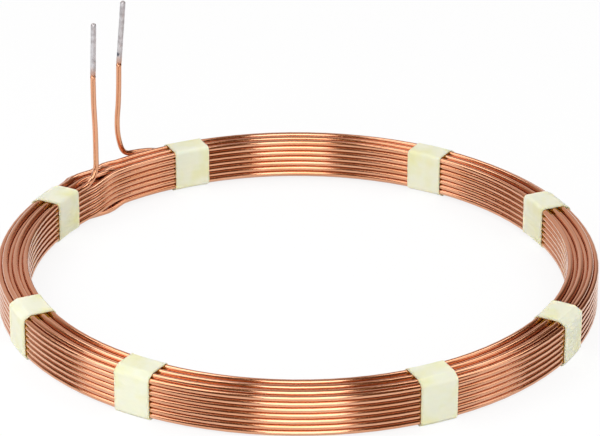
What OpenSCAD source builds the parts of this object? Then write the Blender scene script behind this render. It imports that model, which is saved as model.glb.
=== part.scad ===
// Air core inductor: a flat ring of enamelled round copper wire, wound in nested
// layers with no former, tied by paper tape bands, with two upright tinned leads.
// The ring lies flat: its axis is +Z and its lowest tape face is at z = 0.
// Angles are counter-clockwise from +X, seen from above.

/* [Wire] */
// Diameter over the enamel
wire_d = 0.96; // [0.90:0.01:0.97]
// Diameter of the bare copper
core_d = 0.88; // [0.84:0.01:0.88]

/* [Winding] */
// Outer diameter of the ring
ring_d = 100; // [90:1:120]
// Height from one turn to the next in a layer
turn_pitch = 0.995; // [0.990:0.005:1.000]
// Radius from one nested layer to the next
layer_pitch = 0.851; // [0.850:0.001:0.870]
// Distance between layers where their wires cross
cross_pitch = 0.98; // [0.975:0.005:0.990]
// Angle at which the crossovers begin
zone_start = 130; // [129:1:131]

/* [Tape] */
// Width of the tape
tape_w = 6.4; // [5.0:0.1:7.0]
// Thickness of the tape
tape_t = 0.15; // [0.10:0.01:0.20]
// Length of the lap under each band
lap_l = 3.5; // [2.0:0.5:4.0]

/* [Leads] */
// Angle of the lead that starts the inner layer
start_angle = 141; // [140:1:141]
// Angle of the lead that ends the outer layer
finish_angle = 128; // [128:1:129]
// Straight bared length of the start lead
start_bare = 9.2; // [6.0:0.1:12.0]
// Straight bared length of the finish lead
finish_bare = 11.2; // [6.0:0.1:14.0]
// Bare copper left between the enamel and the solder
bare_gap = 0.3; // [0.1:0.1:1.0]
// Thickness of the solder on the bare copper
tin_t = 0.03; // [0.02:0.01:0.04]

/* [Hidden] */

layers = 6;
turns = 7;                                  // turns in each layer
wire_r = wire_d / 2;
core_r = core_d / 2;
tape_gap = 0.03;                            // play between the tape and the wire
base_z = 2 * tape_t + tape_gap + wire_r;    // centre of the lowest wire
outer_r = ring_d / 2 - wire_r;              // centre of the outermost layer

// A turn is a plain arc from far_end round to far_start, past the seam. Near the zone it
// belongs to the crossover.
zone_angle = 17;                            // span of the crossovers
zone_end = zone_start + zone_angle;
far_start = 120;
far_end = 152;
seam_angle = 270;
bend_overlap = 0.4;                         // how far a bend reaches into an arc, degrees

// Stages of a crossover, in degrees from the start of the zone.
spread = [1, 4];                            // layers spread apart
step = [4, 13];                             // wires step to the next turn
gather = [13, 16];                          // layers close up again
dodge = [2.5, 7];                           // a wire that leaves its layer first steps aside
climb = [7, 14];                            // then moves out to the next layer
settle = [11, 16];                          // and comes back by what it dodged too far
dodge_more = 0.2;
zone_stops = [1:2.5:16];                    // where a crossover is bent

lead_neck = 0.3;                            // straight enamelled stretch at the end of a lead
core_overlap = 0.25;                        // how far the bare core starts inside it
wire_sides = 12;                            // sides of the wire's section
section_fit = 0.985;                        // a bend's section stays just inside an arc's
lead_rings = 3;                             // rings to each span of a lead

band_angles = [25, 60, 115, 152.5, 205.5, 239, 296, 332];

// Points of the leads, as bent by hand: [distance along the turn, height, distance outwards].
start_route = [[0.2, 26.9, 0], [0.2, 22, 0], [0, 17, 0], [0, 12, 0], [0.1, 10, 0],
               [0.8, 8.4, 0], [2.2, 7.5, 0]];
finish_route = [[-6.4, 6.8, 0.1], [-5, 7.1, 0.2], [-3.2, 7.4, 0.2], [-1.5, 7.6, 0.2],
                [-0.2, 7.9, 0.1], [0.8, 8.8, 0], [1.4, 10.4, 0], [1.8, 12.7, 0],
                [1.8, 15.2, 0], [1.5, 18, 0], [1.3, 21.5, 0], [1.2, 25, 0]];
start_lean = 3;                             // tilt of the tinned ends, degrees
finish_lean = 6;

function clamp01(t) = min(1, max(0, t));
function smooth(t) = t * t * (3 - 2 * t);
function stage(a, span) = smooth(clamp01((a - span[0]) / (span[1] - span[0])));
function mix(a, b, t) = a + (b - a) * t;
function polar(r, a, z) = [r * cos(a), r * sin(a), z];
function unit(v) = v / norm(v);
function arc_to_angle(s, r) = s / r * 180 / PI;
function arc_length(a, r) = a * PI / 180 * r;

// Layers count from 0, innermost. Even ones wind down and sit half a pitch higher.
function winds_up(layer) = layer % 2 == 1;
function last_turn(layer) = winds_up(layer) ? turns - 1 : 0;
function layer_r(layer) = outer_r - (layers - 1 - layer) * layer_pitch;
function turn_z(layer, turn) = base_z + (turn + (winds_up(layer) ? 0 : 0.5)) * turn_pitch;
function bulge(a) = stage(a, spread) - stage(a, gather);
function spread_r(layer, a) = layer_r(layer) + layer * (cross_pitch - layer_pitch) * bulge(a);

// Centre of a wire that steps from one turn to the next in its layer.
function step_point(layer, turn, a) = let (dir = winds_up(layer) ? 1 : -1)
    polar(spread_r(layer, a), zone_start + a,
          turn_z(layer, turn) + dir * turn_pitch * stage(a, step));

// Centre of a wire that climbs from the last turn of a layer to the layer outside it.
function climb_point(layer, turn, a) = let (dir = winds_up(layer) ? 1 : -1)
    polar(mix(spread_r(layer, a), spread_r(layer + 1, a), stage(a, climb)), zone_start + a,
          turn_z(layer, turn) + dir * (turn_pitch / 2 * stage(a, dodge)
          + dodge_more * (stage(a, dodge) - stage(a, settle))));

// Smooth curve through points, for t from 0 to the number of spans.
function spline(p, t) = let (
    n = len(p) - 1, i = min(n - 1, floor(t)), u = t - i,
    a = p[max(0, i - 1)], b = p[i], c = p[i + 1], d = p[min(n, i + 2)])
    0.5 * (2 * b + (c - a) * u + (2 * a - 5 * b + 4 * c - d) * u * u
    + (3 * b - a - 3 * c + d) * u * u * u);

// Round wire bent along points, with one corner of its section towards side.
module bent_wire(points, side) {
    n = wire_sides;
    count = len(points);
    radius = wire_r * section_fit;
    rings = [for (i = [0:count - 1])
        let (t = unit(points[min(count - 1, i + 1)] - points[max(0, i - 1)]),
             e = unit(side - t * (side * t)), f = cross(t, e))
        for (j = [0:n - 1]) points[i] + radius * (e * cos(360 * j / n) + f * sin(360 * j / n))];
    walls = [for (i = [0:count - 2], j = [0:n - 1]) let (k = (j + 1) % n)
        each [[i * n + j, (i + 1) * n + j, (i + 1) * n + k], [i * n + j, (i + 1) * n + k, i * n + k]]];
    ends = [[for (j = [0:n - 1]) j], [for (j = [n - 1:-1:0]) (count - 1) * n + j]];
    polyhedron(rings, concat(walls, ends), convexity = 4);
}

// Plain arc of a turn.
module wire_arc(layer, turn, from, to) {
    translate([0, 0, turn_z(layer, turn)])
        rotate_extrude(start = from, angle = to - from, $fn = 180)
            translate([layer_r(layer), 0]) circle(wire_r, $fn = wire_sides);
}

// The bend that takes a turn to the next one, or out to the next layer.
module crossover(layer, turn) {
    climbs = turn == last_turn(layer);
    to_layer = climbs ? layer + 1 : layer;
    to_turn = climbs ? turn : turn + (winds_up(layer) ? 1 : -1);
    stops = concat(-bend_overlap, [for (a = zone_stops) a], zone_angle + bend_overlap);
    wire_arc(layer, turn, far_start, zone_start);
    bent_wire([for (a = stops) climbs ? climb_point(layer, turn, a) : step_point(layer, turn, a)],
              polar(1, zone_start + zone_angle / 2, 0));
    wire_arc(to_layer, to_turn, zone_end, far_end);
}

// Where a lead's neck starts, and where it ends, a little further along its lean.
function route_point(p, r, angle) = polar(r + p[2], angle + arc_to_angle(p[0], r), p[1]);
function neck_end(p, r, angle, lean) = let (a = angle + arc_to_angle(p[0], r))
    route_point(p, r, angle) + lead_neck * [sin(lean) * sin(a), -sin(lean) * cos(a), cos(lean)];
function lead_bends(route, r, angle) = [for (i = [0:(len(route) - 1) * lead_rings])
    route_point(spline(route, i / lead_rings), r, angle)];

// Puts children at the end of a lead's neck, their +Z along its straight bared end.
module at_lead_end(p, r, angle, lean) {
    rotate([0, 0, angle + arc_to_angle(p[0], r)]) translate([r + p[2], 0, p[1]])
        rotate([lean, 0, 0]) translate([0, 0, lead_neck]) children();
}

module at_start_end() {
    at_lead_end(start_route[0], layer_r(0), start_angle, start_lean) children();
}

module at_finish_end() {
    at_lead_end(finish_route[len(finish_route) - 1], layer_r(layers - 1), finish_angle,
                finish_lean) children();
}

// The bare core of a straight lead end, from a little inside the neck.
module bare_core(length) {
    translate([0, 0, -core_overlap])
        cylinder(h = length + core_overlap, r = core_r, $fn = wire_sides);
}

module start_lead() {
    r = layer_r(0);
    z = turn_z(0, turns - 1);
    run = arc_length(zone_end - start_angle, r);
    route = concat(start_route, [[run - 1, z, 0], [run + 0.4, z, 0]]);
    bent_wire(concat([neck_end(start_route[0], r, start_angle, start_lean)],
                     lead_bends(route, r, start_angle)), polar(1, start_angle, 0));
    wire_arc(0, turns - 1, zone_end, far_end);
    at_start_end() bare_core(start_bare);
}

module finish_lead() {
    r = layer_r(layers - 1);
    z = turn_z(layers - 1, turns - 1);
    run = arc_length(finish_angle - far_start, r);
    route = concat([[-run - 0.4, z, 0]], finish_route);
    bent_wire(concat(lead_bends(route, r, finish_angle),
                     [neck_end(route[len(route) - 1], r, finish_angle, finish_lean)]),
              polar(1, finish_angle, 0));
    at_finish_end() bare_core(finish_bare);
}

// The whole wire: every turn, the bends between them and both leads, in one piece.
module copper_winding() {
    color("peru") union() {
        for (layer = [0:layers - 1], turn = [0:turns - 1]) {
            wire_arc(layer, turn, far_end, seam_angle);
            wire_arc(layer, turn, seam_angle, far_start + 360);
            if (layer == 0 && turn == turns - 1) start_lead();
            if (layer == layers - 1 && turn == last_turn(layer)) finish_lead();
            else crossover(layer, turn);
        }
    }
}

// Solder on a bared wire end: a thin sleeve with a rounded tip.
module tin_coat(bare_length) {
    r = core_r + tin_t;
    color("silver") difference() {
        rotate_extrude($fn = 48) {
            translate([0, bare_gap]) square([r, bare_length - bare_gap]);
            translate([0, bare_length]) intersection() {
                circle(r, $fn = 32);
                square(r);
            }
        }
        bare_core(bare_length);
    }
}

// Outline round all the wires in the ring's section, grown by a distance.
module bundle_outline(grow) {
    hull() for (layer = [0, 1, layers - 2, layers - 1], turn = [0, turns - 1])
        translate([layer_r(layer), turn_z(layer, turn)]) circle(wire_r + grow, $fn = 24);
}

module tape_section() {
    lap_r = layer_r(layers - 1) - lap_l;
    difference() {
        union() {
            bundle_outline(tape_gap + tape_t);
            intersection() {
                bundle_outline(tape_gap + 2 * tape_t);
                translate([lap_r, 0]) square([lap_l, base_z]);
            }
        }
        bundle_outline(tape_gap);
    }
}

// A strip of tape wrapped round the ring, its ends lapped underneath.
module tape_band(angle) {
    reach = 8;
    color("linen") rotate([0, 0, angle]) intersection() {
        rotate([0, 0, -reach]) rotate_extrude(angle = 2 * reach, $fn = 180) tape_section();
        translate([ring_d / 4, -tape_w / 2, -1]) cube([ring_d / 2, tape_w, 12]);
    }
}

copper_winding();
at_start_end() tin_coat(start_bare);  // start_lead_tin
at_finish_end() tin_coat(finish_bare);  // finish_lead_tin
for (i = [0:7]) tape_band(band_angles[i]);
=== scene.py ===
"""Looks of an air core inductor: a flat ring of enamelled copper wire tied by paper tape bands."""

import logging
import math
from dataclasses import dataclass, field
from enum import Enum

import bpy
import numpy as np
from mathutils import Matrix, Vector


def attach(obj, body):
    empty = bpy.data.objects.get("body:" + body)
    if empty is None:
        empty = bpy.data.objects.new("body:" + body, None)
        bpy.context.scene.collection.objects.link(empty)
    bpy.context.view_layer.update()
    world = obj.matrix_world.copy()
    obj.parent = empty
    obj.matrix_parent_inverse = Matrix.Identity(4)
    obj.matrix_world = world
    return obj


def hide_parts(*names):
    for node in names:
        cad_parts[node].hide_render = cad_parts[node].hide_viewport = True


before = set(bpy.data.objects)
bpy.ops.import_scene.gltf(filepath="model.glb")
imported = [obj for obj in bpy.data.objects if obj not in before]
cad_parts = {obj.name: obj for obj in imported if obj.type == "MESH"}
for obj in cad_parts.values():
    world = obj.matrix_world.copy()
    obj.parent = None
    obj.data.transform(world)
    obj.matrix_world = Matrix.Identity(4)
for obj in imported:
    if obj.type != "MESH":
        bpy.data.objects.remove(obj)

log = logging.getLogger("air_core_inductor")

Colour = tuple[float, float, float]

MM = 0.001
BODY = "root"
# Numbers of the Mix node's sockets for colours.
MIX_FIRST = 6
MIX_SECOND = 7
MIX_RESULT = 2
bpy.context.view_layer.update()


class Slot(Enum):
    """The record's material slots."""

    COPPER = "enamelled_copper"
    TIN = "tinned_copper"
    TAPE = "paper_tape"


class Wind(Enum):
    """The way a layer of turns climbs along the ring's axis."""

    DOWN = -1
    UP = 1


# ---------------------------------------------------------------- small geometry helpers


def smooth(t: np.ndarray) -> np.ndarray:
    """Returns the smooth step of values already between 0 and 1."""
    return t * t * (3 - 2 * t)


def stage(a: np.ndarray, start: float, end: float) -> np.ndarray:
    """Eases from 0 to 1 between two values.

    Args:
        a: Values to test, in the units of the limits.
        start: Value at and below which the result is 0.
        end: Value at and above which the result is 1.

    Returns:
        The eased share for each value.
    """
    return smooth(np.clip((a - start) / (end - start), 0.0, 1.0))


def unit_rows(v: np.ndarray) -> np.ndarray:
    """Returns each row of an array scaled to length 1."""
    return v / np.linalg.norm(v, axis=-1, keepdims=True)


def polar(r: np.ndarray, degrees: np.ndarray, z: np.ndarray) -> np.ndarray:
    """Turns cylindrical coordinates into rows of x, y and z.

    Args:
        r: Distances from the ring's axis, in metres.
        degrees: Angles from +X, counter-clockwise.
        z: Heights, in metres.

    Returns:
        An array with one point in each row.
    """
    a = np.radians(degrees)
    return np.stack([r * np.cos(a), r * np.sin(a), z + 0.0 * a], axis=-1)


def spline(points: np.ndarray, steps: int) -> np.ndarray:
    """Draws a smooth curve through points.

    Args:
        points: One point in each row.
        steps: Pieces that each span is cut into.

    Returns:
        The points of the curve, both ends among them.
    """
    ends = np.vstack([points[:1], points, points[-1:]])
    out = []
    for i in range(len(points) - 1):
        a, b, c, d = ends[i:i + 4]
        u = np.arange(steps)[:, None] / steps
        out.append(0.5 * (2 * b + (c - a) * u + (2 * a - 5 * b + 4 * c - d) * u**2
                          + (3 * b - a - 3 * c + d) * u**3))
    return np.vstack(out + [points[-1:]])


def wave(rng: np.random.Generator, x: np.ndarray, periods: tuple[float, ...]) -> np.ndarray:
    """Adds up sine waves with random phases, for a slow hand-made wander.

    Args:
        rng: Source of the phases.
        x: Places at which the wave is wanted.
        periods: Wave lengths, in the units of x.

    Returns:
        The wave at each place, between -1 and 1.
    """
    total = np.zeros_like(x, dtype=float)
    for period in periods:
        total += np.sin(2 * math.pi * (x / period + rng.random()))
    return total / len(periods)


def grid_faces(rows: int, columns: int, wrap: bool) -> list[tuple[int, int, int, int]]:
    """Lists the four-sided faces of a grid of points.

    Args:
        rows: Points along the first direction.
        columns: Points along the second direction.
        wrap: Whether the last column joins the first one.

    Returns:
        The corner numbers of each face.
    """
    last = columns if wrap else columns - 1
    return [
        (i * columns + j, i * columns + (j + 1) % columns,
         (i + 1) * columns + (j + 1) % columns, (i + 1) * columns + j)
        for i in range(rows - 1) for j in range(last)
    ]


def tube_faces(rings: int, sides: int) -> list[tuple[int, ...]]:
    """Lists the faces of a tube made of rings of points and closed at both ends.

    Args:
        rings: Number of rings.
        sides: Points in each ring.

    Returns:
        The corner numbers of each face.
    """
    last = (rings - 1) * sides
    ends = [tuple(range(sides - 1, -1, -1)), tuple(range(last, last + sides))]
    return grid_faces(rings, sides, wrap=True) + ends


def make_piece(name: str, points: np.ndarray, faces: list, uv: np.ndarray, material: bpy.types.Material,
               nodes: list[str]) -> bpy.types.Object:
    """Makes one smooth piece of the object, riding on its body in place of its CAD nodes.

    Args:
        name: Name of the piece.
        points: Its points in metres, in the object's frame.
        faces: Corner numbers of each face.
        uv: A flat place on the material for each point, in metres.
        material: Its finish.
        nodes: The CAD nodes that it stands for.

    Returns:
        The new object.
    """
    mesh = bpy.data.meshes.new(name)
    mesh.from_pydata(points.tolist(), [], faces)
    corners = np.empty(len(mesh.loops), dtype=np.int32)
    mesh.loops.foreach_get("vertex_index", corners)
    mesh.uv_layers.new(name="flat").data.foreach_set("uv", uv[corners].astype(np.float32).ravel())
    mesh.polygons.foreach_set("use_smooth", np.ones(len(mesh.polygons), dtype=bool))
    mesh.materials.append(material)
    mesh.update()
    piece = bpy.data.objects.new(name, mesh)
    bpy.context.scene.collection.objects.link(piece)
    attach(piece, BODY)
    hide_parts(*nodes)
    log.info("%s: %d points, %d faces", name, len(points), len(faces))
    return piece


# ---------------------------------------------------------------- finishes


class NodeSheet:
    """A material's node tree, with short calls to add and join its nodes."""

    def __init__(self, name: str) -> None:
        """Starts a material with one Principled shader.

        Args:
            name: Name of the material.
        """
        self.material = bpy.data.materials.new(name)
        self.material.use_nodes = True
        self.nodes = self.material.node_tree.nodes
        self.links = self.material.node_tree.links
        self.shader = self.nodes["Principled BSDF"]
        self.output = self.nodes["Material Output"]

    def add(self, kind: str, **settings: object) -> bpy.types.Node:
        """Adds a node.

        Args:
            kind: Blender's name for the node type.
            settings: Values of its properties.

        Returns:
            The new node.
        """
        node = self.nodes.new(kind)
        for key, value in settings.items():
            setattr(node, key, value)
        return node

    def feed(self, target: bpy.types.NodeSocket, value: object) -> None:
        """Gives an input its value.

        Args:
            target: The input.
            value: Another node's output, a number, or three numbers.
        """
        if isinstance(value, bpy.types.NodeSocket):
            self.links.new(value, target)
        elif target.type == "RGBA":
            target.default_value = (*value, 1.0)
        else:
            target.default_value = value

    def shade(self, name: str, value: object) -> None:
        """Gives the shader's input of that name its value."""
        self.feed(self.shader.inputs[name], value)

    def calculate(self, operation: str, *values: object) -> bpy.types.NodeSocket:
        """Works out a number.

        Args:
            operation: Blender's name for the operation.
            values: The outputs or numbers that go in.

        Returns:
            The socket with the result.
        """
        node = self.add("ShaderNodeMath", operation=operation)
        for target, value in zip(node.inputs, values):
            self.feed(target, value)
        return node.outputs[0]

    def flat_place(self, u_size: float, v_size: float) -> bpy.types.NodeSocket:
        """Gives the mesh's flat map, scaled so that a detail has size 1.

        Args:
            u_size: Size of the detail along U, in metres.
            v_size: Size of the detail along V, in metres.

        Returns:
            The socket with the scaled place.
        """
        uv = self.add("ShaderNodeUVMap", uv_map="flat")
        scale = self.add("ShaderNodeMapping")
        scale.inputs["Scale"].default_value = (1 / u_size, 1 / v_size, 1.0)
        self.feed(scale.inputs["Vector"], uv.outputs["UV"])
        return scale.outputs["Vector"]

    def object_place(self, size: float) -> bpy.types.NodeSocket:
        """Gives the place in the object's own frame, scaled so that a detail has size 1.

        Args:
            size: Size of the detail, in metres.

        Returns:
            The socket with the scaled place.
        """
        place = self.add("ShaderNodeTexCoord")
        scale = self.add("ShaderNodeMapping")
        scale.inputs["Scale"].default_value = (1 / size, 1 / size, 1 / size)
        self.feed(scale.inputs["Vector"], place.outputs["Object"])
        return scale.outputs["Vector"]

    def coordinate(self, place: bpy.types.NodeSocket, axis: str) -> bpy.types.NodeSocket:
        """Takes one coordinate of a place.

        Args:
            place: The socket with the place.
            axis: X, Y or Z. On the flat map, U is X and V is Y.

        Returns:
            The socket with the coordinate.
        """
        split = self.add("ShaderNodeSeparateXYZ")
        self.feed(split.inputs["Vector"], place)
        return split.outputs[axis]

    def noise(self, place: bpy.types.NodeSocket, detail: float = 2.0) -> bpy.types.NodeSocket:
        """Adds a noise texture.

        Args:
            place: The socket with the place, in sizes of the noise.
            detail: Number of finer layers.

        Returns:
            The socket with the noise, mostly between 0.3 and 0.7.
        """
        node = self.add("ShaderNodeTexNoise")
        node.inputs["Scale"].default_value = 1.0
        node.inputs["Detail"].default_value = detail
        self.feed(node.inputs["Vector"], place)
        return node.outputs["Fac"]

    def spread(self, value: bpy.types.NodeSocket, low: float, high: float,
               edges: tuple[float, float] = (0.3, 0.7)) -> bpy.types.NodeSocket:
        """Maps a value onto a range.

        Args:
            value: The value, such as a noise.
            low: Result at and below the lower edge.
            high: Result at and above the upper edge.
            edges: Values that give the two results.

        Returns:
            The socket with the mapped value.
        """
        node = self.add("ShaderNodeMapRange")
        for key, number in zip(("From Min", "From Max", "To Min", "To Max"), (*edges, low, high)):
            node.inputs[key].default_value = number
        self.feed(node.inputs["Value"], value)
        return node.outputs["Result"]

    def blend(self, share: bpy.types.NodeSocket, first: object, second: object) -> bpy.types.NodeSocket:
        """Mixes two colours.

        Args:
            share: Share of the second colour.
            first: A colour, or the output that gives it.
            second: A colour, or the output that gives it.

        Returns:
            The socket with the mixed colour.
        """
        node = self.add("ShaderNodeMix", data_type="RGBA")
        self.feed(node.inputs["Factor"], share)
        self.feed(node.inputs[MIX_FIRST], first)
        self.feed(node.inputs[MIX_SECOND], second)
        return node.outputs[MIX_RESULT]

    def bump(self, height: bpy.types.NodeSocket, distance: float, strength: float) -> None:
        """Raises the shader's surface by a height.

        Args:
            height: Height between 0 and 1.
            distance: Real height of 1, in metres.
            strength: Share of the bump that shows.
        """
        node = self.add("ShaderNodeBump")
        node.inputs["Distance"].default_value = distance
        node.inputs["Strength"].default_value = strength
        self.feed(node.inputs["Height"], height)
        self.shade("Normal", node.outputs["Normal"])


@dataclass(frozen=True)
class EnamelledCopper:
    """Drawn copper under a clear, slightly amber enamel."""

    bright: Colour = (0.775, 0.395, 0.232)
    deep: Colour = (0.65, 0.27, 0.12)
    roughness: tuple[float, float] = (0.116, 0.18125)
    coat: float = 0.9
    coat_roughness: float = 0.06
    coat_ior: float = 1.55
    patch: tuple[float, float] = (14 * MM, 1.2 * MM)
    draw_line: tuple[float, float] = (3 * MM, 0.12 * MM)
    relief: tuple[float, float] = (0.004 * MM, 0.5)

    def build(self) -> bpy.types.Material:
        """Builds the finish.

        Returns:
            The material.
        """
        sheet = NodeSheet("enamelled_copper")
        sheet.shade("Metallic", 1.0)
        sheet.shade("Coat Weight", self.coat)
        sheet.shade("Coat Roughness", self.coat_roughness)
        sheet.shade("Coat IOR", self.coat_ior)
        tone = sheet.noise(sheet.flat_place(*self.patch))
        sheet.shade("Base Color", sheet.blend(sheet.spread(tone, 0, 1), self.bright, self.deep))
        draw_lines = sheet.noise(sheet.flat_place(*self.draw_line), detail=3)
        sheet.shade("Roughness", sheet.spread(draw_lines, *self.roughness))
        sheet.bump(draw_lines, *self.relief)
        return sheet.material


@dataclass(frozen=True)
class Solder:
    """Dull tin on a dipped wire end, thin at its foot, with grey flux stains.

    The foot and the burn are placed in millimetres: along the wire from the end of its neck, and
    round it from its back.
    """

    name: str
    burnt: bool
    bright: Colour = (0.60, 0.59, 0.61)
    stain: Colour = (0.40, 0.38, 0.39)
    stain_edges: tuple[float, float] = (0.42, 0.68)
    thin: Colour = (0.58, 0.34, 0.25)
    thin_foot: tuple[float, float] = (0.9, 2.3)
    burn: Colour = (0.09, 0.10, 0.13)
    burn_place: tuple[float, float] = (1.95, 1.12)
    burn_rim: tuple[float, float] = (0.2, 0.48)
    metallic: float = 0.85
    roughness: tuple[float, float] = (0.238, 0.51)
    patch: float = 0.9 * MM
    grain: float = 0.22 * MM
    relief: tuple[float, float] = (0.02 * MM, 0.6)

    def build(self) -> bpy.types.Material:
        """Builds the finish.

        Returns:
            The material.
        """
        sheet = NodeSheet(self.name)
        sheet.shade("Metallic", self.metallic)
        patches = sheet.noise(sheet.object_place(self.patch), detail=3)
        tin = sheet.blend(sheet.spread(patches, 0, 1, self.stain_edges), self.bright, self.stain)
        place = sheet.flat_place(MM, MM)
        ragged = sheet.calculate("ADD", sheet.coordinate(place, "X"), patches)
        tin = sheet.blend(sheet.spread(ragged, 0, 1, self.thin_foot), self.thin, tin)
        if self.burnt:
            away = sheet.add("ShaderNodeVectorMath", operation="DISTANCE")
            sheet.feed(away.inputs[0], place)
            sheet.feed(away.inputs[1], (*self.burn_place, 0.0))
            tin = sheet.blend(sheet.spread(away.outputs["Value"], 0, 1, self.burn_rim), self.burn, tin)
        sheet.shade("Base Color", tin)
        grain = sheet.noise(sheet.object_place(self.grain), detail=3)
        sheet.shade("Roughness", sheet.spread(grain, *self.roughness))
        sheet.bump(grain, *self.relief)
        return sheet.material


@dataclass(frozen=True)
class PaperTape:
    """Off-white paper tape, with fibres, the yellow of its adhesive showing through, and a painted glow
    along its edges.
    """

    white: Colour = (0.90, 0.85, 0.61)
    yellow: Colour = (0.85, 0.79, 0.42)
    glue_patch: float = 4.5 * MM
    glue_edges: tuple[float, float] = (0.46, 0.72)
    # Painted light: the edge colour over the rim is a lighter yellow glow, as of light through the thin
    # paper, painted over the shade on the strip's sides.
    edge: Colour = (0.96, 0.87, 0.52)
    half_width: float = 3.2 * MM
    rim: tuple[float, float] = (0.9, 1.0)
    roughness: tuple[float, float] = (0.527, 0.713)
    gloss: float = 0.35
    translucency: float = 0.9
    depth: float = 0.5 * MM
    scatter: Colour = (1.0, 0.85, 0.6)
    fibre: tuple[float, float] = (0.9 * MM, 0.16 * MM)
    relief: tuple[float, float] = (0.03 * MM, 0.45)

    def build(self) -> bpy.types.Material:
        """Builds the finish.

        Returns:
            The material.
        """
        sheet = NodeSheet("paper_tape")
        sheet.shade("Subsurface Weight", self.translucency)
        sheet.shade("Subsurface Radius", self.scatter)
        sheet.shade("Subsurface Scale", self.depth)
        sheet.shade("Specular IOR Level", self.gloss)
        glue = sheet.noise(sheet.object_place(self.glue_patch), detail=2)
        paper = sheet.blend(sheet.spread(glue, 0, 1, self.glue_edges), self.white, self.yellow)
        across = sheet.coordinate(sheet.flat_place(self.half_width, self.half_width), "Y")
        aside = sheet.calculate("ABSOLUTE", across)
        # Painted glow: the strip's rims take the lighter edge colour, painted light over their shade.
        sheet.shade("Base Color", sheet.blend(sheet.spread(aside, 0, 1, self.rim), paper, self.edge))
        fibres = sheet.noise(sheet.flat_place(*self.fibre), detail=4)
        sheet.shade("Roughness", sheet.spread(fibres, *self.roughness))
        sheet.bump(fibres, *self.relief)
        return sheet.material


@dataclass(frozen=True)
class PaleFloor:
    """Matt white that glows to the camera and, more faintly, in what is shiny."""

    white: Colour = (0.92, 0.92, 0.92)
    roughness: float = 0.8
    gloss: float = 0.1
    glow: float = 0.85
    mirrored_glow: float = 0.35

    def build(self) -> bpy.types.Material:
        """Builds the finish.

        Returns:
            The material.
        """
        sheet = NodeSheet("floor_white")
        sheet.shade("Base Color", self.white)
        sheet.shade("Roughness", self.roughness)
        sheet.shade("Specular IOR Level", self.gloss)
        rays = sheet.add("ShaderNodeLightPath")
        total = sheet.calculate("MULTIPLY", rays.outputs["Is Camera Ray"], self.glow)
        for kind in ("Is Glossy Ray", "Is Transmission Ray"):
            total = sheet.calculate("MULTIPLY_ADD", rays.outputs[kind], self.mirrored_glow, total)
        glow = sheet.add("ShaderNodeEmission")
        mix = sheet.add("ShaderNodeMixShader")
        sheet.feed(mix.inputs["Fac"], total)
        sheet.feed(mix.inputs[1], sheet.shader.outputs["BSDF"])
        sheet.feed(mix.inputs[2], glow.outputs["Emission"])
        sheet.feed(sheet.output.inputs["Surface"], mix.outputs["Shader"])
        return sheet.material


# ---------------------------------------------------------------- the coil


@dataclass(frozen=True)
class Winding:
    """Sizes of the nested winding, in metres and degrees, and where each turn lies."""

    wire_d: float = 0.96 * MM
    ring_d: float = 100 * MM
    turn_pitch: float = 0.995 * MM
    layer_pitch: float = 0.851 * MM
    cross_pitch: float = 0.98 * MM
    layers: int = 6
    turns: int = 7
    tape_t: float = 0.15 * MM
    tape_gap: float = 0.03 * MM
    zone_start: float = 130.0
    zone_angle: float = 17.0
    last_arc_end: float = 119.0
    spread: tuple[float, float] = (1.0, 4.0)
    gather: tuple[float, float] = (13.0, 16.0)

    @property
    def wire_r(self) -> float:
        """Radius over the enamel."""
        return self.wire_d / 2

    @property
    def base_z(self) -> float:
        """Height of the centre of the lowest wire."""
        return 2 * self.tape_t + self.tape_gap + self.wire_r

    @property
    def zone_end(self) -> float:
        """Angle at which the crossovers end."""
        return self.zone_start + self.zone_angle

    def way(self, layer: int) -> Wind:
        """Returns the way a layer is wound: the innermost one goes down."""
        return Wind.UP if layer % 2 else Wind.DOWN

    def last_turn(self, layer: int) -> int:
        """Returns the number of the turn from which the wire leaves a layer."""
        return self.turns - 1 if self.way(layer) is Wind.UP else 0

    def layer_r(self, layer: float) -> float:
        """Returns the radius of a layer's centre line."""
        return self.ring_d / 2 - self.wire_r - (self.layers - 1 - layer) * self.layer_pitch

    def turn_z(self, layer: int, turn: int) -> float:
        """Returns the height of a turn: layers wound down sit half a pitch higher."""
        half = 0.5 if self.way(layer) is Wind.DOWN else 0.0
        return self.base_z + (turn + half) * self.turn_pitch

    def spread_r(self, layer: int, a: np.ndarray) -> np.ndarray:
        """Returns a layer's radius inside the crossover zone, where the layers spread apart."""
        bulge = stage(a, *self.spread) - stage(a, *self.gather)
        return self.layer_r(layer) + layer * (self.cross_pitch - self.layer_pitch) * bulge


@dataclass(frozen=True)
class Lead:
    """A hand-bent end of the wire, from its straight bared stretch down to the ring.

    Each station of its route gives the distance along the turn, the height and the distance
    outwards, in millimetres.
    """

    layer: int
    angle: float
    lean: float
    bare_length: float
    route: tuple[tuple[float, float, float], ...]
    neck: float = 0.3 * MM
    bare_reach: float = 0.5 * MM
    shoulder: float = 0.01 * MM
    steps: int = 6

    def end(self, size: Winding) -> tuple[Vector, Vector]:
        """Finds where the bared stretch begins and which way it points.

        Args:
            size: The winding that the lead belongs to.

        Returns:
            The foot of the bared stretch and its direction.
        """
        r = size.layer_r(self.layer)
        aside, height, outwards = (value * MM for value in self.route[0])
        turn = Matrix.Rotation(math.radians(self.angle) + aside / r, 3, "Z")
        lean = math.radians(self.lean)
        along = turn @ Vector((0, -math.sin(lean), math.cos(lean)))
        return turn @ Vector((r + outwards, 0, height)) + self.neck * along, along

    def points(self, size: Winding) -> np.ndarray:
        """Draws the lead's centre line.

        Args:
            size: The winding that the lead belongs to.

        Returns:
            Points from the bared stretch to the ring. The first two are on the bare core.
        """
        r = size.layer_r(self.layer)
        p = spline(np.array(self.route, dtype=float) * MM, self.steps)
        bends = polar(r + p[:, 2], self.angle + np.degrees(p[:, 0] / r), p[:, 1])
        foot, along = (np.array(v) for v in self.end(size))
        rise = np.array([[self.bare_reach], [self.shoulder], [0.0]])
        return np.vstack([foot + along * rise, bends])


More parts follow.
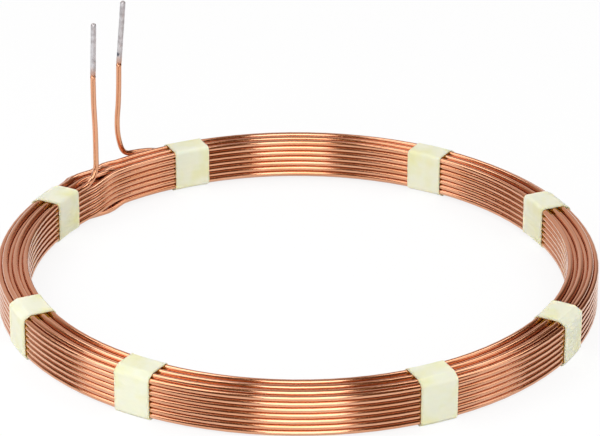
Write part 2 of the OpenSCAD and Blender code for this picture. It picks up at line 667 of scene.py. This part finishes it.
START_LEAD = Lead(
    layer=0, angle=141.0, lean=3.0, bare_length=9.2 * MM,
    route=((0.2, 26.9, 0), (0.2, 22, 0), (0, 17, 0), (0, 12, 0), (0.1, 10, 0), (0.8, 8.4, 0),
           (2.2, 7.5, 0), (3.74, 7.2775, 0)))
FINISH_LEAD = Lead(
    layer=5, angle=128.0, lean=6.0, bare_length=11.2 * MM,
    route=((1.2, 25, 0), (1.3, 21.5, 0), (1.5, 18, 0), (1.8, 15.2, 0), (1.8, 12.7, 0),
           (1.4, 10.4, 0), (0.8, 8.8, 0), (-0.2, 7.9, 0.1), (-1.5, 7.6, 0.2), (-3.2, 7.4, 0.2),
           (-5, 7.1, 0.2), (-6.4, 6.8, 0.1), (-7.3, 6.78, 0)))


@dataclass
class CopperWire:
    """The one continuous wire: a lead, six layers of seven turns, and the other lead."""

    size: Winding
    sides: int = 16
    arc_step: float = 3.75
    zone_step: float = 1.5
    step: tuple[float, float] = (4.0, 13.0)
    climb: tuple[float, float] = (7.0, 14.0)
    dodge: tuple[float, float] = (2.5, 7.0)
    settle: tuple[float, float] = (11.0, 16.0)
    dodge_more: float = 0.2 * MM
    core_r: float = 0.44 * MM

    def turn_points(self, layer: int, turn: int) -> np.ndarray:
        """Draws a turn's round stretch, from the zone's end to its start.

        Args:
            layer: The layer that the wire is in.
            turn: The turn in that layer.

        Returns:
            Points of the centre line.
        """
        s = self.size
        last = layer == s.layers - 1 and turn == s.last_turn(layer)
        end = (s.last_arc_end if last else s.zone_start) + 360
        a = np.linspace(s.zone_end, end, int((end - s.zone_end) / self.arc_step))
        return polar(np.full_like(a, s.layer_r(layer)), a, s.turn_z(layer, turn))

    def zone_points(self, layer: int, turn: int) -> np.ndarray:
        """Draws the bend that takes a turn to the next one, or out to the next layer.

        Args:
            layer: The layer that the wire is in.
            turn: The turn that it has just finished.

        Returns:
            Points between the round stretches, without their ends.
        """
        s = self.size
        a = np.arange(self.zone_step, s.zone_angle, self.zone_step)
        way = s.way(layer).value
        z = s.turn_z(layer, turn)
        r = s.spread_r(layer, a)
        if turn != s.last_turn(layer):
            return polar(r, s.zone_start + a, z + way * s.turn_pitch * stage(a, *self.step))
        share = stage(a, *self.climb)
        aside = stage(a, *self.dodge)
        rise = s.turn_pitch / 2 * aside + self.dodge_more * (aside - stage(a, *self.settle))
        return polar(r * (1 - share) + s.spread_r(layer + 1, a) * share, s.zone_start + a, z + way * rise)

    def route(self) -> np.ndarray:
        """Draws the centre line of the whole wire.

        Returns:
            Its points, from one bared end to the other.
        """
        s = self.size
        parts = [START_LEAD.points(s)]
        for layer in range(s.layers):
            order = range(s.turns) if s.way(layer) is Wind.UP else range(s.turns - 1, -1, -1)
            for turn in order:
                parts.append(self.turn_points(layer, turn))
                if layer < s.layers - 1 or turn != s.last_turn(layer):
                    parts.append(self.zone_points(layer, turn))
        parts.append(FINISH_LEAD.points(s)[::-1])
        return np.vstack(parts)

    def build(self, material: bpy.types.Material) -> bpy.types.Object:
        """Sweeps the round wire along its route.

        Args:
            material: The wire's finish.

        Returns:
            The wire.
        """
        line = self.route()
        tangent = unit_rows(np.gradient(line, axis=0))
        outwards = unit_rows(line * np.array([1.0, 1.0, 0.0]))
        e = unit_rows(outwards - tangent * np.sum(outwards * tangent, axis=1, keepdims=True))
        f = np.cross(tangent, e)
        turn = np.linspace(0, 2 * math.pi, self.sides, endpoint=False)[None, :, None]
        radii = np.full((len(line), 1, 1), self.size.wire_r)
        radii[:2] = self.core_r
        radii[-2:] = self.core_r
        rings = line[:, None] + radii * (e[:, None] * np.cos(turn) + f[:, None] * np.sin(turn))
        run = np.concatenate([[0.0], np.cumsum(np.linalg.norm(np.diff(line, axis=0), axis=1))])
        around = np.abs(turn[0, :, 0] - math.pi) * self.size.wire_r
        uv = np.stack(np.broadcast_arrays(run[:, None], around[None, :]), axis=-1)
        return make_piece("copper_wire", rings.reshape(-1, 3), tube_faces(len(line), self.sides),
                          uv.reshape(-1, 2), material, ["copper_winding"])


@dataclass
class TinnedEnd:
    """The dipped end of a lead: bare wire under a thin, lumpy coat of solder."""

    name: str
    node: str
    size: Winding
    lead: Lead
    seed: int
    radius: float = 0.475 * MM
    gap: float = 0.3 * MM
    foot: tuple[tuple[float, float], ...] = ((-0.02 * MM, 0.9), (0.0, 0.99))
    foot_height: float = 0.12 * MM
    lump: float = 0.025
    lump_periods: tuple[float, ...] = (1.3 * MM, 2.9 * MM, 0.7 * MM)
    run_off: float = 0.6
    run_off_pitch: float = 0.8 * MM
    sides: int = 20
    steps: int = 44
    dome_steps: int = 7

    def profile(self) -> tuple[np.ndarray, np.ndarray]:
        """Lists the coat's stations, from its thin foot to its rounded tip.

        Returns:
            Their heights over the end of the neck, and their shares of the radius.
        """
        length = self.lead.bare_length
        foot_heights, foot_shares = np.array(self.foot).T
        wall = np.linspace(self.gap + self.foot_height, length, self.steps)
        dome = np.linspace(0, math.pi / 2, self.dome_steps)[1:-1]
        heights = np.concatenate([self.gap + foot_heights, wall, length + self.radius * np.sin(dome)])
        return heights, np.concatenate([foot_shares, np.ones_like(wall), np.cos(dome)])

    def build(self, material: bpy.types.Material) -> bpy.types.Object:
        """Turns the coat's uneven profile round the lead.

        Args:
            material: The solder.

        Returns:
            The tinned end.
        """
        rng = np.random.default_rng(self.seed)
        foot, along = self.lead.end(self.size)
        heights, shares = self.profile()
        turn = np.linspace(0, 2 * math.pi, self.sides, endpoint=False)
        lumps = wave(rng, heights, self.lump_periods)[:, None]
        lumps = lumps + self.run_off * np.sin(turn[None, :] + heights[:, None] / self.run_off_pitch)
        radii = (self.radius * shares[:, None] * (1 + self.lump * lumps))[..., None]
        back = Vector((0, 1, 0))
        side = (back - along * back.dot(along)).normalized()
        other = along.cross(side)
        cosines, sines = np.cos(turn)[None, :, None], np.sin(turn)[None, :, None]
        points = (np.array(foot)[None, None] + heights[:, None, None] * np.array(along)
                  + radii * (cosines * np.array(side) + sines * np.array(other)))
        uv = np.stack(np.broadcast_arrays(heights[:, None], turn[None, :] * self.radius), axis=-1)
        return make_piece(self.name, points.reshape(-1, 3), tube_faces(len(heights), self.sides),
                          uv.reshape(-1, 2), material, [self.node])


@dataclass(frozen=True)
class Span:
    """One stretch of a strip's way round the section: a bend on a corner, or the flat after it."""

    corner: np.ndarray
    edge: np.ndarray
    facing: float
    sweep: float
    length: float

    def at(self, share: float) -> tuple[np.ndarray, tuple[float, float]]:
        """Finds a place on the stretch.

        Args:
            share: How far along it the place is, between 0 and 1.

        Returns:
            The place on the wires' centres, and the strip's outward normal there.
        """
        angle = self.facing + self.sweep * share
        return self.corner + self.edge * share, (math.cos(angle), math.sin(angle))


@dataclass
class TapeBand:
    """A strip of paper tape wrapped round the ring, its ends lapped underneath."""

    size: Winding
    number: int
    angle: float
    width: float = 6.4 * MM
    lap: float = 3.5 * MM
    start: float = 0.2 * MM
    lap_rise: tuple[float, float] = (-0.8 * MM, 0.4 * MM)
    rim_lift: float = 0.02 * MM
    rim_power: int = 6
    rim_periods: tuple[float, ...] = (3.1 * MM, 5.3 * MM)
    ridge: float = 0.012 * MM
    crease: float = 0.012 * MM
    crease_periods: tuple[float, ...] = (1.7 * MM, 2.6 * MM)
    crease_width: float = 5 * MM
    first_seed: int = 100
    along_steps: int = 220
    across_steps: int = 14

    @property
    def mid_r(self) -> float:
        """Distance of the strip's middle from the centres of the wires that it lies on."""
        return self.size.wire_r + self.size.tape_gap + self.size.tape_t / 2

    def corners(self) -> np.ndarray:
        """Finds the wires at the corners of the ring's section.

        Returns:
            Radius and height of their centres, counter-clockwise.
        """
        s = self.size
        top, last = s.turns - 1, s.layers - 1
        spots = ((last, 0), (last, top), (last - 1, top), (0, top), (0, 0), (1, 0))
        return np.array([(s.layer_r(layer), s.turn_z(layer, turn)) for layer, turn in spots])

    def spans(self) -> list[Span]:
        """Lists the stretches of one round, from the bend on the first corner.

        Returns:
            For each corner, the bend and the flat after it.
        """
        corners = self.corners()
        edges = np.roll(corners, -1, axis=0) - corners
        lengths = np.linalg.norm(edges, axis=1)
        facings = np.arctan2(-edges[:, 0], edges[:, 1])
        spans = []
        for i, corner in enumerate(corners):
            before = facings[i - 1]
            sweep = (facings[i] - before) % (2 * math.pi)
            spans.append(Span(corner, np.zeros(2), before, sweep, sweep * self.mid_r))
            spans.append(Span(corner, edges[i], before + sweep, 0.0, lengths[i]))
        return spans

    def outline(self) -> tuple[np.ndarray, np.ndarray, np.ndarray]:
        """Walks once round the section and on over the lap.

        Returns:
            The lengths run, and for each the place on the wires' centres and the outward normal.
        """
        spans = self.spans()
        ends = np.cumsum([span.length for span in spans])
        total = ends[-1]
        run = np.linspace(0, total + self.lap, self.along_steps)
        # The strip starts under the ring, on the flat between the last corner and the first.
        offset = total - spans[-1].length + self.start
        points, outwards = [], []
        for place in (run + offset) % total:
            number = min(int(np.searchsorted(ends, place)), len(spans) - 1)
            span = spans[number]
            point, normal = span.at(1 - (ends[number] - place) / span.length)
            points.append(point)
            outwards.append(normal)
        return run, np.array(points), np.array(outwards)

    def heights(self, run: np.ndarray, w: np.ndarray, mid: np.ndarray, outwards: np.ndarray) -> np.ndarray:
        """Works out how far the strip's middle stands off the wires' centres.

        Args:
            run: Lengths run along the strip.
            w: Places across the strip.
            mid: The place on the wires' centres for each length.
            outwards: The outward normal for each length.

        Returns:
            The distances, with a row for each length and a column for each place across.
        """
        s = self.size
        rng = np.random.default_rng(self.first_seed + self.number)
        one_round = run[-1] - self.lap
        over_lap = stage(run, *(one_round + rise for rise in self.lap_rise)) * s.tape_t
        rim = (np.abs(w) / (self.width / 2)) ** self.rim_power
        lift = self.rim_lift * rim[None, :] * (1 + wave(rng, run, self.rim_periods)[:, None])
        crease = self.crease * wave(rng, run, self.crease_periods)[:, None]
        crease = crease * wave(rng, w, (self.crease_width,))[None, :]
        ridge = self.ridge * np.cos(2 * math.pi * (mid[:, 1] - s.base_z) / s.turn_pitch)
        ridge = ridge * np.abs(outwards[:, 0])
        return self.mid_r + (over_lap + ridge)[:, None] + lift + crease

    def faces(self) -> list:
        """Lists the faces of both sides of the strip and of the rim between them.

        Returns:
            The corner numbers of each face.
        """
        rows, columns = self.along_steps, self.across_steps
        half = rows * columns
        outer = grid_faces(rows, columns, wrap=False)
        inner = [tuple(half + i for i in reversed(face)) for face in outer]
        rim = ([i * columns for i in range(rows)]
               + [(rows - 1) * columns + j for j in range(1, columns)]
               + [i * columns + columns - 1 for i in range(rows - 2, -1, -1)]
               + list(range(columns - 2, 0, -1)))
        return outer + inner + [(b, a, a + half, b + half) for a, b in zip([rim[-1]] + rim, rim)]

    def build(self, material: bpy.types.Material) -> bpy.types.Object:
        """Wraps the strip, with faint ridges over the wires and soft creases.

        Args:
            material: The tape's finish.

        Returns:
            The band.
        """
        run, mid, outwards = self.outline()
        w = np.linspace(-self.width / 2, self.width / 2, self.across_steps)
        middle = self.heights(run, w, mid, outwards)
        sides = []
        for depth in (middle + self.size.tape_t / 2, middle - self.size.tape_t / 2):
            r = mid[:, :1] + outwards[:, :1] * depth
            z = mid[:, 1:] + outwards[:, 1:] * depth
            x = np.sqrt(r**2 - w[None, :]**2)
            sides.append(np.stack([x, np.broadcast_to(w, x.shape), z], axis=-1).reshape(-1, 3))
        turn = np.array(Matrix.Rotation(math.radians(self.angle), 3, "Z"))
        flat = np.stack(np.broadcast_arrays(run[:, None], w[None, :]), axis=-1).reshape(-1, 2)
        return make_piece(f"paper_band_{self.number}", np.vstack(sides) @ turn.T, self.faces(),
                          np.vstack([flat, flat]), material, [f"tape_band_{self.number}"])


@dataclass
class Inductor:
    """The whole object: wire, tinned ends and tape bands."""

    size: Winding = field(default_factory=Winding)
    band_angles: tuple[float, ...] = (25, 60, 115, 152.5, 205.5, 239, 296, 332)

    def build(self) -> None:
        """Builds every piece with its finish."""
        copper, paper = EnamelledCopper().build(), PaperTape().build()
        clean, burnt = Solder("tinned_copper", False).build(), Solder("burnt_tin", True).build()
        CopperWire(self.size).build(copper)
        TinnedEnd("start_tinned_end", "start_lead_tin", self.size, START_LEAD, seed=11).build(clean)
        TinnedEnd("finish_tinned_end", "finish_lead_tin", self.size, FINISH_LEAD, seed=12).build(burnt)
        for number, angle in enumerate(self.band_angles, start=1):
            TapeBand(self.size, number, angle).build(paper)


# ---------------------------------------------------------------- studio


@dataclass(frozen=True)
class SoftBox:
    """A soft rectangular lamp, placed by its direction and the angles that it fills."""

    name: str
    azimuth: float
    elevation: float
    wide: float
    high: float
    radiance: float
    distance: float = 1.3

    def side(self, angle: float) -> float:
        """Returns the length that fills an angle at the lamp's distance."""
        return 2 * self.distance * math.tan(math.radians(angle) / 2)

    def build(self) -> None:
        """Hangs the lamp, facing the object. Its azimuth counts from the front to the right."""
        lamp = bpy.data.lights.new(self.name, "AREA")
        lamp.shape = "RECTANGLE"
        lamp.size = self.side(self.wide)
        lamp.size_y = self.side(self.high)
        lamp.energy = self.radiance * math.pi * lamp.size * lamp.size_y
        a, e = math.radians(self.azimuth), math.radians(self.elevation)
        away = Vector((math.sin(a) * math.cos(e), -math.cos(a) * math.cos(e), math.sin(e)))
        right = Vector((math.cos(a), math.sin(a), 0))
        stand = bpy.data.objects.new(self.name, lamp)
        stand.location = away * self.distance
        stand.rotation_mode = "QUATERNION"
        stand.rotation_quaternion = Matrix((right, away.cross(right), away)).transposed().to_quaternion()
        bpy.context.scene.collection.objects.link(stand)


@dataclass(frozen=True)
class Room:
    """The room's light: even on dull surfaces, and in shiny ones dark but for its back."""

    dark: Colour = (0.13, 0.065, 0.038)
    bright: Colour = (0.74, 0.61, 0.55)
    even: Colour = (0.31, 0.31, 0.31)
    back: tuple[float, float, float] = (-0.35, 0.94, 0.0)
    back_edges: tuple[float, float] = (0.45, 0.9)

    def build(self) -> None:
        """Makes the world that gives this light."""
        world = bpy.data.worlds.new("room")
        bpy.context.scene.world = world
        world.use_nodes = True
        nodes, links = world.node_tree.nodes, world.node_tree.links
        place = nodes.new("ShaderNodeTexCoord")
        way = nodes.new("ShaderNodeVectorMath")
        way.operation = "DOT_PRODUCT"
        way.inputs[1].default_value = self.back
        ramp = nodes.new("ShaderNodeMapRange")
        ramp.interpolation_type = "SMOOTHSTEP"
        ramp.inputs["From Min"].default_value = self.back_edges[0]
        ramp.inputs["From Max"].default_value = self.back_edges[1]
        links.new(place.outputs["Generated"], way.inputs[0])
        links.new(way.outputs["Value"], ramp.inputs["Value"])
        rays = nodes.new("ShaderNodeLightPath")
        mirrored, seen = (nodes.new("ShaderNodeMix") for _ in range(2))
        for mix, share in ((mirrored, ramp.outputs["Result"]), (seen, rays.outputs["Is Diffuse Ray"])):
            mix.data_type = "RGBA"
            links.new(share, mix.inputs["Factor"])
        mirrored.inputs[MIX_FIRST].default_value = (*self.dark, 1.0)
        mirrored.inputs[MIX_SECOND].default_value = (*self.bright, 1.0)
        seen.inputs[MIX_SECOND].default_value = (*self.even, 1.0)
        links.new(mirrored.outputs[MIX_RESULT], seen.inputs[MIX_FIRST])
        links.new(seen.outputs[MIX_RESULT], nodes["Background"].inputs["Color"])


@dataclass(frozen=True)
class ViewCamera:
    """The camera. It looks at the ring's axis at the level of the lowest wire, a little aside."""

    distance: float = 541.3 * MM
    elevation: float = 26.67
    roll: float = 0.12
    focal_px: float = 3232.0
    centre_x_px: float = 297.9
    centre_y_px: float = 288.1
    picture_w_px: int = 600
    picture_h_px: int = 436
    sensor_mm: float = 36.0
    far: float = 50.0

    def build(self, level: float) -> None:
        """Sets up the camera.

        Args:
            level: Height of the point on the ring's axis that the distance counts from.
        """
        data = bpy.data.cameras.new("camera")
        data.sensor_width = self.sensor_mm
        data.lens = self.sensor_mm * self.focal_px / self.picture_w_px
        data.clip_end = self.far
        e = math.radians(self.elevation)
        back = Vector((0, -math.cos(e), math.sin(e)))
        right = Vector((1, 0, 0))
        axes = Matrix((right, back.cross(right), back)).transposed()
        aside = math.atan((self.picture_w_px / 2 - self.centre_x_px) / self.focal_px)
        above = math.atan((self.centre_y_px - self.picture_h_px / 2) / self.focal_px)
        turn = (Matrix.Rotation(math.radians(self.roll), 3, "Z") @ Matrix.Rotation(-aside, 3, "Y")
                @ Matrix.Rotation(above, 3, "X"))
        camera = bpy.data.objects.new("camera", data)
        camera.rotation_mode = "QUATERNION"
        camera.rotation_quaternion = (axes @ turn).to_quaternion()
        camera.location = back * self.distance + Vector((0, 0, level))
        bpy.context.scene.collection.objects.link(camera)
        bpy.context.scene.camera = camera


@dataclass
class Studio:
    """A white floor in a dim room with a bright back, soft lamps and the camera."""

    floor_size: float = 6.0
    lamps: tuple[SoftBox, ...] = (
        SoftBox("front_lamp", azimuth=2.5, elevation=31, wide=29, high=60, radiance=3.0),
        SoftBox("top_lamp", azimuth=2.5, elevation=95, wide=16, high=68, radiance=0.36),
        SoftBox("left_lamp", azimuth=-63, elevation=34, wide=32, high=56, radiance=1.62, distance=0.25),
        SoftBox("left_top_lamp", azimuth=-110, elevation=61, wide=34, high=34, radiance=2.3),
        SoftBox("right_lamp", azimuth=74, elevation=34, wide=18, high=56, radiance=1.25, distance=0.4),
        SoftBox("right_top_lamp", azimuth=117, elevation=58, wide=22, high=32, radiance=2.4),
    )

    def build_floor(self) -> None:
        """Lays the floor under the object."""
        half = self.floor_size / 2
        mesh = bpy.data.meshes.new("floor")
        corners = [(-half, -half, 0), (half, -half, 0), (half, half, 0), (-half, half, 0)]
        mesh.from_pydata(corners, [], [(0, 1, 2, 3)])
        mesh.materials.append(PaleFloor().build())
        floor = bpy.data.objects.new("floor", mesh)
        bpy.context.scene.collection.objects.link(floor)

    def build(self, level: float) -> None:
        """Builds the studio round the object.

        Args:
            level: Height of the object's lowest wire, at which the camera looks.
        """
        ViewCamera().build(level)
        self.build_floor()
        Room().build()
        for lamp in self.lamps:
            lamp.build()
        bpy.context.scene.view_settings.view_transform = "Standard"


def main() -> None:
    """Builds the object and the studio."""
    logging.basicConfig(level=logging.INFO, format="%(name)s %(message)s")
    inductor = Inductor()
    inductor.build()
    Studio().build(inductor.size.base_z)


if __name__ == "__main__":
    main()
